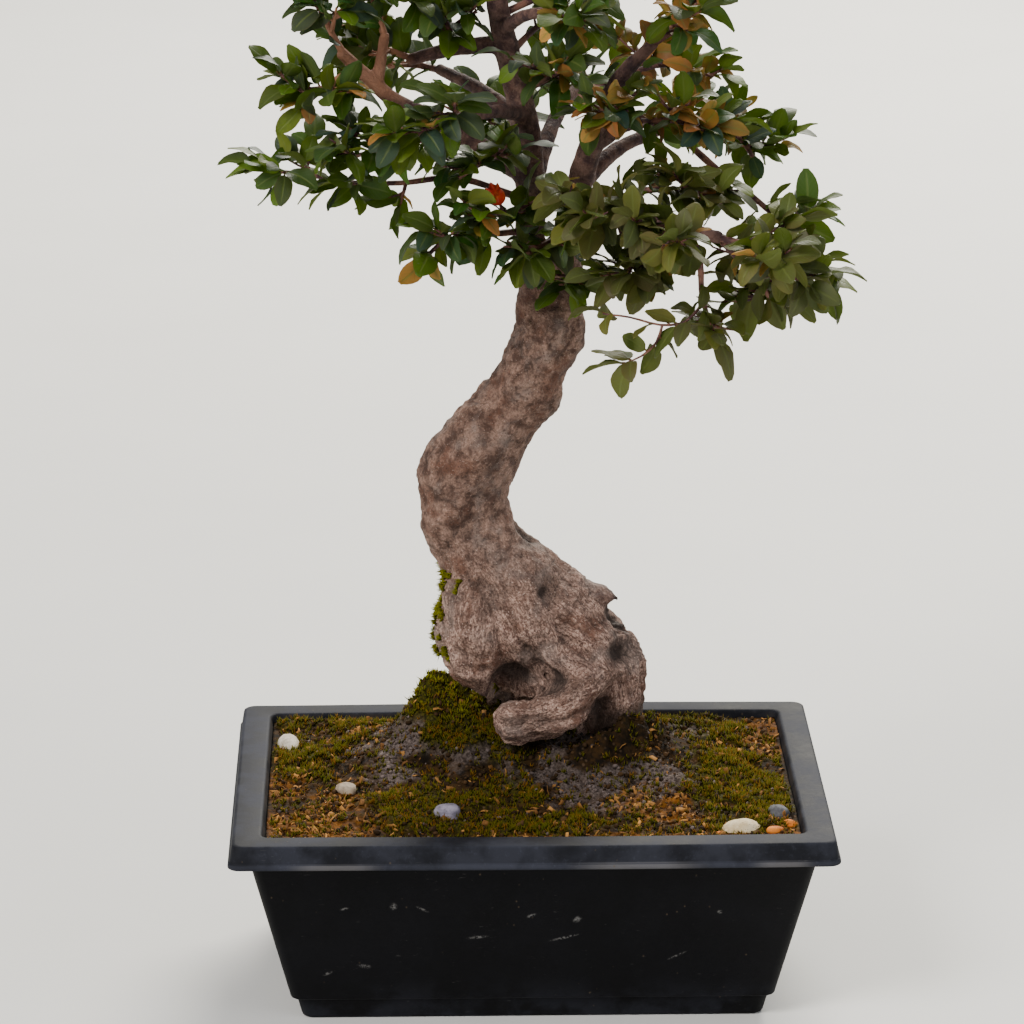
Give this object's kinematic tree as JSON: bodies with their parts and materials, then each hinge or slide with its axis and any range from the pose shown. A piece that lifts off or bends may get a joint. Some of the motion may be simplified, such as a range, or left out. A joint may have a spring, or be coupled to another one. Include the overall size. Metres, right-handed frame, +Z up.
{
  "type": "pomegranate bonsai",
  "caption": "small bonsai pomegranate tree with a gnarled forked trunk and leafy sprays, in a shallow rectangular training pot filled with soil",
  "frame": {"origin": "centre of the pot's flat underside, on the surface that the pot stands on", "axes": "+Z up along the height; +X along the pot's long side, to the right as seen from the front; +Y from the front of the pot to its back"},
  "size_m": [0.1052, 0.0947, 0.2033],
  "materials": {
    "pot_plastic": "worn matte black, dusty along the rim",
    "soil": "damp granular potting soil",
    "bark": "rough living bark, brown to grey",
    "leaf": "satin leaf surface, thin living blade",
    "bud": "waxy orange-red flower bud",
    "stone": "rough pebble"
  },
  "bodies": {
    "root": {"flower_bud": "bud", "pot": "pot_plastic", "soil": "soil", "spray_apex": "leaf", "spray_apex_back": "leaf", "spray_apex_front": "leaf", "spray_back_end": "leaf", "spray_back_high": "leaf", "spray_back_left": "leaf", "spray_back_mid": "leaf", "spray_back_right": "leaf", "spray_centre_front": "leaf", "spray_centre_left": "leaf", "spray_centre_low": "leaf", "spray_front": "leaf", "spray_high_inner": "leaf", "spray_high_left": "leaf", "spray_leader": "leaf", "spray_left_cluster": "leaf", "spray_left_fork": "leaf", "spray_left_reach": "leaf", "spray_left_rise": "leaf", "spray_left_tip": "leaf", "spray_low_left": "leaf", "spray_pad_back": "leaf", "spray_pad_end": "leaf", "spray_pad_front": "leaf", "spray_pad_hanging": "leaf", "spray_pad_low": "leaf", "spray_pad_low_end": "leaf", "spray_pad_near": "leaf", "spray_right_end": "leaf", "spray_right_high": "leaf", "spray_right_inner": "leaf", "spray_right_low": "leaf", "spray_right_mid": "leaf", "spray_right_upper": "leaf", "spray_top_back": "leaf", "spray_top_front": "leaf", "spray_top_left": "leaf", "spray_top_right": "leaf", "spray_top_side": "leaf", "spray_trunk_face": "leaf", "stone_cream": "stone", "stone_grey": "stone", "stone_pale": "stone", "stone_round": "stone", "stone_white": "stone", "trunk": "bark"}
  },
  "joints": []
}
